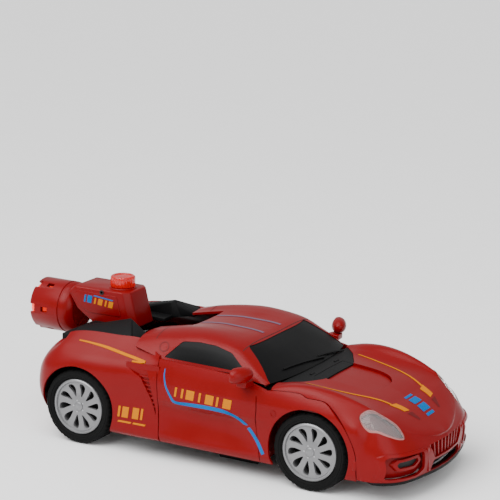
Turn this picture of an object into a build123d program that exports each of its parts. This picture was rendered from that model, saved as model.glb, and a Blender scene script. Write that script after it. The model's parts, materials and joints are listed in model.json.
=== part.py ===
from build123d import *
import math
import os

# A toy sports car that stands up into a robot.  Millimetres, +X to the front, +Y to the left, +Z up.
# The floor is z = 0.  The rear half, turret, shins and feet are the base.  Everything else hangs on the
# torso, which lifts about the waist hinge.

os.makedirs("parts", exist_ok=True)

# ---- main sizes -------------------------------------------------------------------------------
SKIN = 2.0
SEAM = 0.5
RUN = 0.06                      # radial clearance of a running pin
TYRE_R = 24.8
RIM_R = 18.3
ARCH_R = 27.4
REAR_AXLE = (-81.5, 24.8)
FRONT_AXLE = (86.5, 24.8)
WHEEL_IN = 40.0
WHEEL_OUT = 60.0
WAIST = (-1.0, 40.0)            # lift hinge
CHEST_PIN = (127.0, 35.0)       # torso to chest
SHOULDER = (116.0, 39.0)        # torso to shoulders
ROOF_PIN = (53.0, 57.0)         # chest to roof
HATCH_PIN = (66.0, 60.0)        # chest to hood hatch and head
CASTER = (40.0, 0.0)
GEAR_TEETH = 30
PINION_TEETH = 12
PINION_X = WAIST[0] - (GEAR_TEETH + PINION_TEETH) / 2.0
TURRET_HALF = 14.0
NOZZLE_Z = 72.0
NOZZLE_R = 17.5
CAP_X = -85.0

# Outline of the body seen from the side, from the rear bumper over the top to the nose and back.
SIDE = [(-104, 13), (-119, 24), (-118, 42), (-112, 56), (-98, 64), (-60, 66.5), (-23, 66), (40, 63),
        (60, 61), (76, 64.5), (90, 64), (103, 61), (114, 56), (125, 49), (138, 40), (148, 34), (151, 29),
        (152, 14), (120, 12), (-19, 13)]
# Outline across the car, and from above.
SECTION = [(-58, 10), (-62, 16), (-62, 50), (-56, 63.5), (-48, 67), (48, 67), (56, 63.5), (62, 50),
           (62, 16), (58, 10)]
PLAN = [(-119, -44), (-112, -56), (-100, -62), (100, -62), (119, -60), (134, -58), (143, -48), (149, -30),
        (152, -12), (153, 0), (152, 12), (149, 30), (143, 48), (134, 58), (119, 60), (100, 62), (-100, 62),
        (-112, 56), (-119, 44)]
HOOD_LINE = [(62, 62), (68, 61), (90, 58.5), (110, 53.5), (130, 45.5), (142, 38.5), (149, 33)]
ARM_AREA = [(-18.8, 12), (-22.3, 65.6), (38, 63.2), (56.4, 58.4), (79.2, 60.2), (83.4, 58.3), (95.8, 57.5),
            (108, 47.3), (115.6, 35.3), (118.3, 26), (118.7, 12)]
CHEST_AREA = [(57, 59.2), (79.4, 61), (83.7, 59.1), (96.4, 58.2), (108.8, 48), (116.3, 35.7), (119, 26.3),
              (119.4, 10), (160, 10), (160, 90), (57, 90)]
ROOF_SIDE = [(61, 60.4), (55, 61.5), (30, 77.5), (21, 80.5), (1, 83), (-18, 81), (-31, 79), (-43, 75.5),
             (-43.5, 70.4), (-24, 67.2), (-21, 64.6), (38, 64.4), (48, 60.4)]
ROOF_SECTION = [(-54, 58), (-53.4, 64), (-46, 79), (-36, 84), (36, 84), (46, 79), (53.4, 64), (54, 58)]
ROOF_PLAN = [(-44, -54), (52, -54), (56, -50), (60, -30), (61, 0), (60, 30), (56, 50), (52, 54), (-44, 54)]
GLASS_SIDE = [(-20.5, 65.4), (-10.4, 78.5), (26, 79.5), (37, 65.4)]
GLASS_FRONT = [(-50, 60), (-35.5, 77.4), (35.5, 77.4), (50, 60)]
TURRET = [(-67, 68), (-73, 91.3), (-114.5, 91.5), (-120.5, 86.5), (-112, 76), (-104, 72), (-100, 68)]


# ---- small helpers ----------------------------------------------------------------------------
def flat(points, inset):
    face = Polygon(*points, align=None)
    if inset:
        face = offset(face, amount=-inset, kind=Kind.INTERSECTION)
    return face


def prism_y(points, low, high, inset=0):
    """A shape drawn in X and Z, running from y = low to y = high."""
    face = Plane(origin=(0, high, 0), x_dir=(1, 0, 0), z_dir=(0, -1, 0)) * flat(points, inset)
    return extrude(face, amount=high - low, dir=(0, -1, 0))


def prism_z(points, low, high, inset=0):
    """A shape drawn in X and Y, running from z = low to z = high."""
    return extrude(Plane(origin=(0, 0, low)) * flat(points, inset), amount=high - low, dir=(0, 0, 1))


def prism_x(points, low, high, inset=0):
    """A shape drawn in Y and Z, running from x = low to x = high."""
    face = Plane(origin=(low, 0, 0), x_dir=(0, 1, 0), z_dir=(1, 0, 0)) * flat(points, inset)
    return extrude(face, amount=high - low, dir=(1, 0, 0))


def box(x0, x1, y0, y1, z0, z1):
    return Pos((x0 + x1) / 2, (y0 + y1) / 2, (z0 + z1) / 2) * Box(x1 - x0, y1 - y0, z1 - z0)


def rod_x(y, z, r, x0, x1):
    return Pos((x0 + x1) / 2, y, z) * Rot(0, 90, 0) * Cylinder(r, x1 - x0)


def rod_y(x, z, r, y0, y1):
    return Pos(x, (y0 + y1) / 2, z) * Rot(90, 0, 0) * Cylinder(r, y1 - y0)


def rod_z(x, y, r, z0, z1):
    return Pos(x, y, (z0 + z1) / 2) * Cylinder(r, z1 - z0)


def other_side(shape):
    return mirror(shape, about=Plane.XZ)


def both(shape):
    """The shape on the left and its mirror on the right, as two solids."""
    return Compound(children=list(shape.solids()) + list(other_side(shape).solids()))


def save(name, *shapes):
    solids = [s for shape in shapes for s in shape.solids()]
    whole = solids[0] if len(solids) == 1 else Compound(children=solids)
    export_step(whole, f"parts/{name}.step")


def gear(teeth, x, z, y0, y1, bore, turn=0.0):
    """A spur gear of module 1 with its axis along Y, with a generous backlash."""
    root = teeth / 2 - 1.25
    tip = teeth / 2 + 0.85
    pitch = 2 * math.pi / teeth
    points = []
    for i in range(teeth):
        a = i * pitch + math.radians(turn)
        for r, da in ((root, -0.30), (tip, -0.12), (tip, 0.12), (root, 0.30)):
            points.append((x + r * math.cos(a + da * pitch), z + r * math.sin(a + da * pitch)))
    return prism_y(points, y0, y1) - rod_y(x, z, bore, y0 - 1, y1 + 1)


# ---- body shell, made once and cut into panels -------------------------------------------------
def hull(inset):
    whole = prism_y(SIDE, -80, 80, inset) & prism_x(SECTION, -200, 200, inset) & prism_z(PLAN, -10, 120, inset)
    drop = [(x, z - inset) for x, z in HOOD_LINE]
    valley = prism_y(drop + [(152, 90), (62, 90)], -44 - inset, 44 + inset)
    return whole - valley


skin = hull(0) - hull(SKIN) - prism_z(PLAN, -10, 16, SKIN)
rear_arch = rod_y(REAR_AXLE[0], REAR_AXLE[1], ARCH_R, -80, 80)
front_arch = rod_y(FRONT_AXLE[0], FRONT_AXLE[1], ARCH_R, -80, 80)
rear_area = prism_y([(-130, 8), (-19.4, 8), (-22.9, 70), (-130, 70)], 44.2, 80)
flank = prism_x([(53, 64.5), (54.5, 65.5), (46.5, 74), (44.5, 73), (44.5, 64.5)], -98, -45)
quarter = (skin & rear_area) - rear_arch + (flank - prism_x([(44.4, 60), (51, 64.5), (44.4, 71)], -99, -44))
save("rear_quarters", both(quarter))
save("rear_bumper", skin & box(-125, -104, -44.1, 44.1, 10, 62))
side_inner = prism_y([(-18, 16), (14, 16), (10, 60), (-21, 60)], 50.5, 52.5) + box(-17, 4, 46.2, 50.5, 24, 27)
save("base_side_panels", both(side_inner))

# ---- base: tub, drive, power, shins, feet --------------------------------------------------------
tub = box(-103.5, 13.5, -35, 35, 11.5, 14)
for side in (-1, 1):
    tub += box(-103, -31, min(33 * side, 35 * side), max(33 * side, 35 * side), 14, 42)
    tub += box(-9, 7, min(13 * side, 16 * side), max(13 * side, 16 * side), 14, 48)
tub -= rod_y(REAR_AXLE[0], REAR_AXLE[1], 2.0 + RUN, -40, 40)
tub -= rod_y(WAIST[0], WAIST[1], 2.5, -20, 20)
tub -= box(-61, -31.5, -27.2, 27.2, 11, 14.5)
tub -= box(-23, -17, -6, 6, 11, 14.5)
save("base_tub", tub)
save("battery_cover", box(-61, -31.5, -27.2, 27.2, 12, 13.8) - rod_z(-46, 22, 1.6, 11, 15))
save("battery_pack", rod_y(-53.4, 21.4, 7.0, -25, 25), rod_y(-39.0, 21.4, 7.0, -25, 25))
gearbox = box(-97, -66, -14, 14, 15, 37) - rod_y(REAR_AXLE[0], REAR_AXLE[1], 2.0 + RUN, 10, 20)
gearbox -= rod_y(REAR_AXLE[0], REAR_AXLE[1], 2.0 + RUN, -20, -10)
save("drive_gearbox", gearbox)
save("drive_motors", both(rod_y(-90, 31, 5.6, 14.2, 32)))
lift_box = box(-50, -12, -8.8, 8.8, 31, 51) - rod_y(PINION_X, WAIST[1], 1.5 + RUN, -10, 10)
save("lift_gearbox", lift_box, rod_x(0, 41, 8.5, -65.5, -50))
pinion = gear(PINION_TEETH, PINION_X, WAIST[1], 9.3, 12.3, 1.0, 0.0)
pinion += rod_y(PINION_X, WAIST[1], 1.5, -8, 12.3)
save("lift_pinion", pinion)
board = box(-106, -72, -30, 30, 46, 47.6)
for x, y, w in ((-98, 12, 9), (-84, -10, 7), (-98, -18, 6), (-80, 16, 5)):
    board += box(x - w / 2, x + w / 2, y - w / 2, y + w / 2, 47.6, 50)
save("circuit_board", board)
tank = prism_y(TURRET, -11.6, 11.6, SKIN + 0.4) & box(-110, -64, -12, 12, 69, 90)
tank -= prism_y(TURRET, -10.4, 10.4, SKIN + 1.6) & box(-108.8, -65.2, -12, 12, 70.2, 88.8)
tank = tank + rod_z(CAP_X, 0, 5.0, 88, 93.4) - rod_z(CAP_X, 0, 3.6, 87, 94)
save("water_tank", tank)
shin = prism_y([(-30, 14), (13.5, 14), (13.5, 61), (10, 64), (-18, 64), (-22, 61), (-30, 58)], 17, 46)
shin -= prism_y([(-28, 14), (11.5, 14), (11.5, 60), (9, 62), (-17, 62), (-21, 59), (-28, 56)], 19, 44)
save("shin_boxes", both(shin - box(-32, -27, 17, 47, 10, 42)))
shin_plate = prism_x([(20, 32), (32, 32), (34, 50), (31, 54), (22, 54), (19, 50)], 13.5, 16.5)
save("shin_plates", both(shin_plate))
foot = box(13.5, 44, 13, 40, 3, 15) - box(24, 33, 18, 35, 9, 20)
foot = foot & prism_y([(13, 3), (41, 3), (45, 7), (45, 11), (30, 16), (13, 16)], 10, 42)
bridge = box(13.5, 46, -13, 13, 11, 15) + rod_z(CASTER[0], CASTER[1], 7, 10.7, 19.4)
foot_block = bridge + foot + other_side(foot) - rod_z(CASTER[0], CASTER[1], 3.0 + RUN, 0, 30)
save("foot_block", foot_block)
toe = prism_y([(33.2, 14.6), (44, 11.2), (47, 7.5), (47, 10.5), (44.5, 14), (33.5, 18.4)], 18, 34)
save("toe_caps", both(toe) - foot_block)
save("waist_pin", rod_y(WAIST[0], WAIST[1], 2.5, -16.5, 16.5))
deck_out = [(-44, 67), (-44, 73), (-28, 79.5), (-15, 70), (15, 70), (28, 79.5), (44, 73), (44, 67)]
deck_in = [(-42, 60), (-42, 71.5), (-28, 77), (-15, 67.9), (15, 67.9), (28, 77), (42, 71.5), (42, 60)]
deck = prism_x(deck_out, -98, -49.5) - prism_x(deck_in, -99, -44) + box(-104, -98, -44, 44, 62, 67)
deck = deck - box(-60.5, -44, -24, 24, 60, 90) - box(-103, -60, -14.1, 14.1, 67.9, 90)
save("rear_deck", Compound(children=[s for s in deck.solids() if s.volume > 20]))
lamp = box(-119.8, -117.6, 24, 38, 46, 49) + box(-119.8, -117.6, 24, 27, 42, 46)
save("tail_lights", both(lamp - (hull(0))))
turret = prism_y(TURRET, -TURRET_HALF, TURRET_HALF) - prism_y(TURRET, -12, 12, SKIN)
turret += rod_z(CAP_X, 0, 9.3, 90.5, 92.0) - rod_z(CAP_X, 0, 5.5, 86, 100)
turret -= rod_z(CAP_X, 0, 5.5, 86, 100)
save("turret_shell", turret)
nozzle = rod_x(0, NOZZLE_Z, NOZZLE_R, -150, -122)
nozzle += Pos(-118.5, 0, NOZZLE_Z) * Rot(0, -90, 0) * Cone(15.0, NOZZLE_R, 7.0)
nozzle -= rod_x(0, NOZZLE_Z, NOZZLE_R - 2.5, -160, -124)
for i in range(6):
    nozzle -= Pos(0, 0, NOZZLE_Z) * Rot(60 * i, 0, 0) * Pos(-150, 0, NOZZLE_R) * Box(10, 5, 8)
nozzle -= prism_y(TURRET, -TURRET_HALF - 0.01, TURRET_HALF + 0.01) + hull(0) + box(-117, -95, -20, 20, 50, 100)
save("nozzle", nozzle)
lens = rod_x(0, NOZZLE_Z, NOZZLE_R - 2.6, -146, -143) + Pos(-148, 0, NOZZLE_Z) * Rot(0, -90, 0) * Cone(14, 9, 4)
save("nozzle_lens", lens + rod_x(0, NOZZLE_Z, 5, -153, -149))

# ---- torso: lies forward under the hood, stands up as hips, waist and ribs ------------------------
frame = rod_y(WAIST[0], WAIST[1], 8.5, -9, 9) + box(-1, 36, -9, 9, 33, 46) + box(31, 36, -34, 34, 24, 46)
side_frame = box(36, 64, 13, 34, 24, 44) - box(40, 60, 16, 31, 30, 50) + box(64, 106, 17.3, 30.3, 24, 40)
side_frame += rod_y(SHOULDER[0], SHOULDER[1], 7.4, 17.3, 30.3) + rod_y(CHEST_PIN[0], CHEST_PIN[1], 5.8, 17.3, 30.3)
side_frame += prism_y([(104, 30), (127, 29.4), (127, 40.4), (104, 40)], 17.3, 30.3)
side_frame -= rod_y(SHOULDER[0], SHOULDER[1], 5.6 + RUN, 10, 40)
side_frame -= rod_y(CHEST_PIN[0], CHEST_PIN[1], 2.4 + RUN, 10, 40)
frame += side_frame + other_side(side_frame)
frame -= rod_y(WAIST[0], WAIST[1], 2.5 + RUN, -20, 20)
save("torso_frame", frame)
hub_gear = gear(GEAR_TEETH, WAIST[0], WAIST[1], 9.0, 12.3, 2.5 + RUN, 180 + 180 / GEAR_TEETH)
save("lift_gear", hub_gear)
plate = prism_z([(38, 16), (57, 14), (57, 32), (50, 33), (38, 30)], 22.4, 24)
save("thigh_plates", both(plate))
tips = both(rod_y(60.6, 24, 3.2, 14, 33) & box(50, 70, 10, 40, 20, 24))
guard = prism_z([(33, -4), (37, -13), (62, -17), (58, -10), (46, 0), (58, 10), (62, 17), (37, 13), (33, 4)], 21, 23.9)
save("thigh_tips", tips)
guard = guard + box(36, 46, -12.9, 12.9, 23.9, 24)
save("waist_guard", guard - tips - both(plate))
breast = prism_z([(70, 0), (86, -17), (112, -30), (112, -18), (98, 0), (112, 18), (112, 30), (86, 17)], 20.9, 23.9)
save("chest_plate", breast)
studs = rod_z(76, 22, 3.4, 21.6, 24)
studs += rod_z(84, 26, 2.6, 21.6, 24)
save("chest_studs", both(studs - prism_z([(66, 0), (86, 18), (114, 31), (114, 0)], 10, 30)))

# ---- chest: hood and nose ------------------------------------------------------------------------
hatch_hole = box(68.6, 90, -20, 20, 40, 80) + rod_z(90, 0, 20, 40, 80)
hatch_area = box(69.2, 90, -19.4, 19.4, 40, 80) + rod_z(90, 0, 19.4, 40, 80)
chest_area = prism_y(CHEST_AREA, -80, 80)
low_nose = box(100, 170, -80, 80, 0, 36)
hood = (skin & chest_area) - low_nose - hatch_hole - box(50, 62, -44, 44, 50, 80) - front_arch
hood -= box(50, 58.6, -80, 80, 50, 80)
for side in (-1, 1):
    hood -= box(60, 69, 16.5 * side - 2.6, 16.5 * side + 2.6, 50, 70)
mouth = prism_z([(140, -21), (160, -21), (160, 21), (140, 21)], 14, 29)
bumper = (skin & chest_area & low_nose) - mouth
save("hood_shell", hood)
save("front_bumper", bumper)
grille = box(145, 149, -21, 21, 22, 29) - box(144, 148, -19.5, 19.5, 23.4, 27.6)
for i in range(-4, 5):
    grille += box(147, 149.4, 4.2 * i - 0.6, 4.2 * i + 0.6, 23.4, 27.6)
splitter = prism_z(PLAN, 12, 13.8) & box(127, 160, -80, 80, 0, 40)
splitter -= prism_z([(110, -52), (134, -52), (144, -30), (144, 30), (134, 52), (110, 52)], 0, 40)
save("front_grille", grille & hull(0), splitter - skin)
save("headlight_lenses", both(prism_z([(118, 50), (127, 54), (137, 48), (139, 43), (128, 42)], 30, 80)
                              & (prism_y([(100, 66), (148, 36.2), (148, 34.8), (100, 64.6)], 30, 60))
                              & box(100, 160, 40, 60, 36.5, 70) - hull(0)))
carrier = box(124.8, 129, -34, 34, 41.8, 43.4)
cheek = prism_y([(124.2, 35), (130, 35), (129, 43.4), (124.8, 43.4)], 31, 34) + rod_y(CHEST_PIN[0], CHEST_PIN[1], 4.1, 31, 34)
cheek += rod_y(CHEST_PIN[0], CHEST_PIN[1], 2.4, 17.5, 34)
carrier += cheek + other_side(cheek)
for side in (-1, 1):
    carrier += box(124.8, 129, 20 * side - 4, 20 * side + 4, 43.4, 49) & hull(SKIN)
save("chest_carrier", carrier)
roof_lug = rod_y(ROOF_PIN[0], ROOF_PIN[1], 1.5, 45.2, 50.2)
roof_lug += box(51.5, 61.5, 48.2, 50.2, 55.4, 58.4) + box(58.7, 61.5, 48.2, 50.2, 55.4, 60)
hatch_lug = rod_y(HATCH_PIN[0], HATCH_PIN[1], 1.0, 14.2, 20.5)
save("hinge_brackets", both((roof_lug - skin) + (hatch_lug - hood)))

# ---- head on the underside of the hood hatch ----------------------------------------------------
hatch = (skin & hatch_area) + box(69.2, 71, -18, 18, 57.5, 60)
ear = rod_y(HATCH_PIN[0], HATCH_PIN[1], 1.9, 14.5, 18.5) + box(66, 71, 14.5, 18.5, 58.5, 60.2)
ear -= rod_y(HATCH_PIN[0], HATCH_PIN[1], 1.0 + RUN, 10, 25)
hatch += ear + other_side(ear)
save("hood_hatch", hatch)
helmet = Pos(82, 0, 36) * Sphere(11) + rod_x(0, 36, 8, 71, 80)
helmet -= box(60, 95, -12, 12, 20, 30.5)
save("helmet", helmet)
save("face_mask", (Pos(82, 0, 36) * Sphere(10.9) & box(73, 92, -8.2, 8.2, 24, 30.5)) + box(71, 82, -6, 6, 27, 30.5))
post = box(74, 86, -4, 4, 46.9, 53) + box(72, 80, -6, 6, 44, 54)
save("head_post", post - helmet - skin)

# ---- roof, windows ------------------------------------------------------------------------------
def cabin(inset):
    return prism_y(ROOF_SIDE, -60, 60, inset) & prism_x(ROOF_SECTION, -60, 70, inset) & prism_z(ROOF_PLAN, 50, 90, inset)


cabin_skin = cabin(0) - cabin(SKIN) - (prism_z(ROOF_PLAN, 50, 66, SKIN) & prism_x(ROOF_SECTION, -60, 70, SKIN))
notch = box(-60, -19, -20, 20, 50, 100)
front_glass_area = prism_x(GLASS_FRONT, 31, 70)
side_glass_area = prism_y(GLASS_SIDE, 40, 60)
side_glass_area += other_side(side_glass_area)
roof = cabin_skin - notch - front_glass_area - side_glass_area
hinge_ear = rod_y(ROOF_PIN[0], ROOF_PIN[1], 3.0, 45.6, 47.8) + box(50, 54, 45.6, 47.8, 57, 64)
hinge_ear -= rod_y(ROOF_PIN[0], ROOF_PIN[1], 1.5 + RUN, 40, 60)
hinge_ear = (hinge_ear & cabin(0)) + (hinge_ear & box(40, 60, 40, 60, 50, 60.4)) - cabin_skin
hinge_ears = both(hinge_ear)
roof_parts = [s for s in roof.solids() if s.volume > 50]
save("roof_shell", Compound(children=roof_parts), hinge_ears)
glass = cabin_skin & front_glass_area - side_glass_area
save("windshield", Compound(children=[s for s in glass.solids() if s.volume > 20]))
save("side_windows", cabin_skin & side_glass_area)

# ---- arms: shoulder, door, fender, mirror --------------------------------------------------------
sleeve = rod_y(SHOULDER[0], SHOULDER[1], 5.6, 17.4, 30.4) + rod_y(SHOULDER[0], SHOULDER[1], 6.9, 30.6, 35.6)
sleeve += rod_y(SHOULDER[0], SHOULDER[1], 5.6, 30.3, 30.7)
sleeve -= box(SHOULDER[0] - 2.8, SHOULDER[0] + 2.8, 10, 40, SHOULDER[1] - 2.8, SHOULDER[1] + 2.8)
door = (skin & prism_y(ARM_AREA, 54.3, 80)) - front_arch
mirror_cup = Pos(42, 69.5, 68) * scale(Sphere(1), (8.5, 5.5, 4.6)) + box(40, 46, 57.2, 66, 60.5, 66)
door += mirror_cup
liner = prism_y([(54, 18), (54, 52.4), (99, 52.4), (120, 43.4), (121, 33), (108, 18)], 36, 38)
liner += box(51, 54, 36, 60.0, 18, 50) + box(54, 99, 38, 58.6, 50.6, 52.4)
liner += box(SHOULDER[0] - 2.72, SHOULDER[0] + 2.72, 10, 36, SHOULDER[1] - 2.72, SHOULDER[1] + 2.72)
liner += rod_y(FRONT_AXLE[0], FRONT_AXLE[1], 2.0, 37, 57) + rod_y(FRONT_AXLE[0], FRONT_AXLE[1], 5.0, 37, 39.6)
liner -= skin
for name, shape in (("shoulder", sleeve), ("arm_shell", door), ("arm_liner", liner)):
    save(name + "_left", shape)
    save(name + "_right", other_side(shape))


# ---- wheels ---------------------------------------------------------------------------------------
def tyre(x, z):
    ring = rod_y(x, z, TYRE_R, WHEEL_IN, WHEEL_OUT) - rod_y(x, z, RIM_R, WHEEL_IN - 1, WHEEL_OUT + 1)
    return chamfer(ring.edges().filter_by(GeomType.CIRCLE).filter_by(lambda e: e.radius > TYRE_R - 1), 1.2)


def rim(x, z, driven):
    shape = rod_y(x, z, RIM_R, WHEEL_IN + 1, WHEEL_OUT - 1) - rod_y(x, z, RIM_R - 2, WHEEL_IN, WHEEL_OUT)
    shape += rod_y(x, z, 4.5, WHEEL_IN + 1, WHEEL_OUT - 1.4)
    for i in range(10):
        spoke = Pos(x, 56.6, z) * Rot(0, 36 * i, 0) * Pos(10.5, 0, 0) * Box(13, 3.2, 2.6)
        shape += spoke
    if driven:
        shape += rod_y(x, z, 2.0, 12, WHEEL_IN + 2)
    else:
        shape -= rod_y(x, z, 2.0 + RUN, WHEEL_IN, 57.2)
    return shape


for end, axle, driven in (("rear", REAR_AXLE, True), ("front", FRONT_AXLE, False)):
    for name, shape in (("tyre", tyre(*axle)), ("rim", rim(*axle, driven))):
        save(f"{name}_{end}_left", shape)
        save(f"{name}_{end}_right", other_side(shape))

# ---- caster, filler cap, power switch ---------------------------------------------------------------
fork = rod_z(CASTER[0], CASTER[1], 3.0, 9.2, 18.6) + box(32, 43.2, -4.6, 4.6, 9.2, 10.4)
for side in (-1, 1):
    cheek = prism_y([(33, 9.2), (42, 9.2), (38, 2.4), (33, 2.4)], min(3 * side, 4.6 * side),
                    max(3 * side, 4.6 * side))
    fork += cheek
fork -= rod_y(35.5, 4.6, 1.0 + RUN, -6, 6)
save("caster_fork", fork)
save("caster_wheel", rod_y(35.5, 4.6, 4.4, -2.7, 2.7) + rod_y(35.5, 4.6, 1.0, -4.6, 4.6))
cap = rod_z(CAP_X, 0, 8.3, 92.3, 99.4) - rod_z(CAP_X, 0, 5.8, 92, 95.8)
for i in range(24):
    cap -= Pos(CAP_X, 0, 97.6) * Rot(0, 0, 15 * i) * Pos(8.4, 0, 0) * Cylinder(0.5, 5)
save("filler_cap", cap + rod_z(CAP_X, 0, 4.0, 93.6, 95.8))
save("power_switch", box(-22.6, -17.4, -5.6, 1.6, 12.2, 13.4) + box(-21.6, -18.4, -3, -1, 10.6, 12.2))
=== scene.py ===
import bpy
import bmesh
import json
import math
import numpy as np
from mathutils import Matrix, Vector


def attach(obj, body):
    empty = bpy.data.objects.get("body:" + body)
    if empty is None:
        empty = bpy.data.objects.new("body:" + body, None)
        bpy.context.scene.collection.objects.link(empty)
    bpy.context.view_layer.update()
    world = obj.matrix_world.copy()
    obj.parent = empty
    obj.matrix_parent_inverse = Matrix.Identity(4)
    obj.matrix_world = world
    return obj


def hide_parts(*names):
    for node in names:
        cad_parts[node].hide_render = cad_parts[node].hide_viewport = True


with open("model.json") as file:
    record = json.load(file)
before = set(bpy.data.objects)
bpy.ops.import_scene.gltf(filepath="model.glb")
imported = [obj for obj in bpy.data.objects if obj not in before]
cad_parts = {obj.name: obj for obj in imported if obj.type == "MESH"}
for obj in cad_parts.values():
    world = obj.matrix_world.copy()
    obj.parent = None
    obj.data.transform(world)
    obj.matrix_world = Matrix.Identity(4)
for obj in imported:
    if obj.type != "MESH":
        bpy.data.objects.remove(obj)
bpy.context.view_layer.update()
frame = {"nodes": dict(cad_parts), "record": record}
MM = 0.001

# ---- places shared with the CAD (millimetres) ----
REAR_AXLE = (-81.5, 24.8)
FRONT_AXLE = (86.5, 24.8)
NOZZLE_Z = 72.0
CAP_X = -85.0

# ---- sizes used all over the car (millimetres) ----
ORIGIN = (0, 0, 0)
WALL = 1.6
ARCH_R = 27.4
PRINT_LIFT = 0.16

# ---- colours (linear) ----
RED = (0.155, 0.0012, 0.0022)
BLACK = (0.0045, 0.0045, 0.0048)
SILVER = (0.20, 0.20, 0.205)
GOLD = (0.36, 0.23, 0.07)
YELLOW = (0.46, 0.14, 0.0)
BLUE = (0.002, 0.10, 0.30)


# ---- materials ----
GLOSS_VARY = 0.06


def material(name, colour, rough=0.35, spec=0.5, metal=0.0, bump=0.0, grain=900.0, wear=0.06,
             transmission=0.0, ior=1.46, emission=None):
    """A moulded or painted surface with a fine grain, uneven gloss and slight shade changes; an emission is
    a painted glow.
    """
    m = bpy.data.materials.new(name)
    m.use_nodes = True
    nt = m.node_tree
    b = nt.nodes["Principled BSDF"]
    coords = nt.nodes.new("ShaderNodeTexCoord")

    def noise(scale, detail):
        node = nt.nodes.new("ShaderNodeTexNoise")
        node.inputs["Scale"].default_value = scale
        node.inputs["Detail"].default_value = detail
        nt.links.new(coords.outputs["Object"], node.inputs["Vector"])
        return node

    big = noise(35.0, 4.0)
    fine = noise(grain, 3.0)
    tint = nt.nodes.new("ShaderNodeMix")
    tint.data_type = "RGBA"
    tint.inputs["A"].default_value = (*[c * (1 - wear) for c in colour], 1)
    tint.inputs["B"].default_value = (*[min(1, c * (1 + wear) + 0.002) for c in colour], 1)
    nt.links.new(big.outputs["Fac"], tint.inputs["Factor"])
    nt.links.new(tint.outputs["Result"], b.inputs["Base Color"])
    gloss = nt.nodes.new("ShaderNodeMapRange")
    gloss.inputs["To Min"].default_value = max(0.02, rough - GLOSS_VARY)
    gloss.inputs["To Max"].default_value = rough + GLOSS_VARY
    nt.links.new(big.outputs["Fac"], gloss.inputs["Value"])
    nt.links.new(gloss.outputs["Result"], b.inputs["Roughness"])
    for socket, value in (("Specular IOR Level", spec), ("Metallic", metal), ("IOR", ior),
                          ("Transmission Weight", transmission)):
        b.inputs[socket].default_value = value
    if emission:
        b.inputs["Emission Color"].default_value = (*emission[0], 1)
        b.inputs["Emission Strength"].default_value = emission[1]
    if bump:
        bp = nt.nodes.new("ShaderNodeBump")
        bp.inputs["Strength"].default_value = bump
        bp.inputs["Distance"].default_value = 0.0002
        nt.links.new(fine.outputs["Fac"], bp.inputs["Height"])
        nt.links.new(bp.outputs["Normal"], b.inputs["Normal"])
    return m


M = {
    "red": material("red_plastic", RED, rough=0.30, spec=0.3, ior=1.3, bump=0.05, grain=500),
    # red_shaded: a matte, darker red; the darker colour is painted shade on the arm liners, base side
    # panels, nose dent and pillar ring
    "red_shaded": material("red_painted_shade", (0.09, 0.001, 0.0018), rough=0.45, spec=0.2, bump=0.15),
    "black": material("black_plastic", BLACK, rough=0.5, spec=0.2, ior=1.3, bump=0.3, grain=1500),
    # dark_cavity: near-black; painted shade in the intake slots, the mouth and behind the rim spokes, also
    # used for the roof seams, the turret screw and the cutters
    "dark": material("dark_cavity", (0.004, 0.004, 0.004), rough=0.7, bump=0.2),
    "window": material("black_window", (0.002, 0.002, 0.0022), rough=0.34, spec=0.2, ior=1.3, bump=0.03),
    "silver": material("silver_paint", SILVER, rough=0.38, metal=0.55, bump=0.12, grain=1800),
    "chrome": material("bright_plate", (0.55, 0.55, 0.56), rough=0.2, metal=0.9, bump=0.05),
    "gold": material("gold_paint", GOLD, rough=0.25, metal=0.75, bump=0.08),
    # clear_red emits light: a painted glow, as the clear red parts hold no lamp
    "clear_red": material("clear_red", (0.62, 0.008, 0.006), rough=0.08, transmission=0.55, ior=1.45,
                          emission=((0.8, 0.01, 0.005), 0.10)),
    # orange_lens emits light: a painted glow, as the nozzle holds no lamp
    "lens_red": material("orange_lens", (1.0, 0.06, 0.02), rough=0.18, transmission=0.35,
                         emission=((1.0, 0.05, 0.01), 0.45)),
    "clear": material("clear_lens", (0.95, 0.90, 0.90), rough=0.05, transmission=0.93, ior=1.3),
    "bowl": material("lamp_bowl", (0.10, 0.03, 0.03), rough=0.3, metal=0.3, bump=0.1),
    "rubber": material("tyre_rubber", (0.004, 0.004, 0.004), rough=0.65, spec=0.15, ior=1.3, bump=0.35,
                       grain=1200),
    "white": material("white_plastic", (0.72, 0.71, 0.66), rough=0.35, bump=0.1),
    "steel": material("steel", (0.42, 0.42, 0.43), rough=0.3, metal=1.0, bump=0.1),
    "board": material("board", (0.01, 0.10, 0.03), rough=0.5, bump=0.2),
    "cell": material("cell_wrap", (0.01, 0.04, 0.18), rough=0.35, bump=0.1),
    "tank": material("tank", (0.62, 0.62, 0.58), rough=0.4, bump=0.1),
    "yellow": material("yellow_print", YELLOW, rough=0.6, spec=0.04, ior=1.3, bump=0.05),
    "blue": material("blue_print", BLUE, rough=0.6, spec=0.04, ior=1.3, bump=0.05),
    "lilac": material("lilac_print", (0.10, 0.05, 0.09), rough=0.4, bump=0.05),
    "floor": material("floor", (0.90, 0.90, 0.90), rough=0.7, spec=0.2, bump=0.02, wear=0.01),
    "pale": material("pale_red", (0.30, 0.12, 0.11), rough=0.4, bump=0.05),
}
SLOT_LOOK = {
    "red_plastic": "red", "black_plastic": "black", "black_gloss": "window", "silver_plastic": "silver",
    "gold_plastic": "gold", "clear_red": "clear_red", "clear_lens": "clear", "rubber": "rubber",
    "white_plastic": "white", "steel": "steel", "board_green": "board", "cell_wrap": "cell",
    "tank_plastic": "tank",
}
for part in frame["record"]["subparts"]:
    node = frame["nodes"][part["node"]]
    look = M[SLOT_LOOK[part["material_slot"]]]
    if node.data.materials:
        for i in range(len(node.data.materials)):
            node.data.materials[i] = look
    else:
        node.data.materials.append(look)
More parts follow.
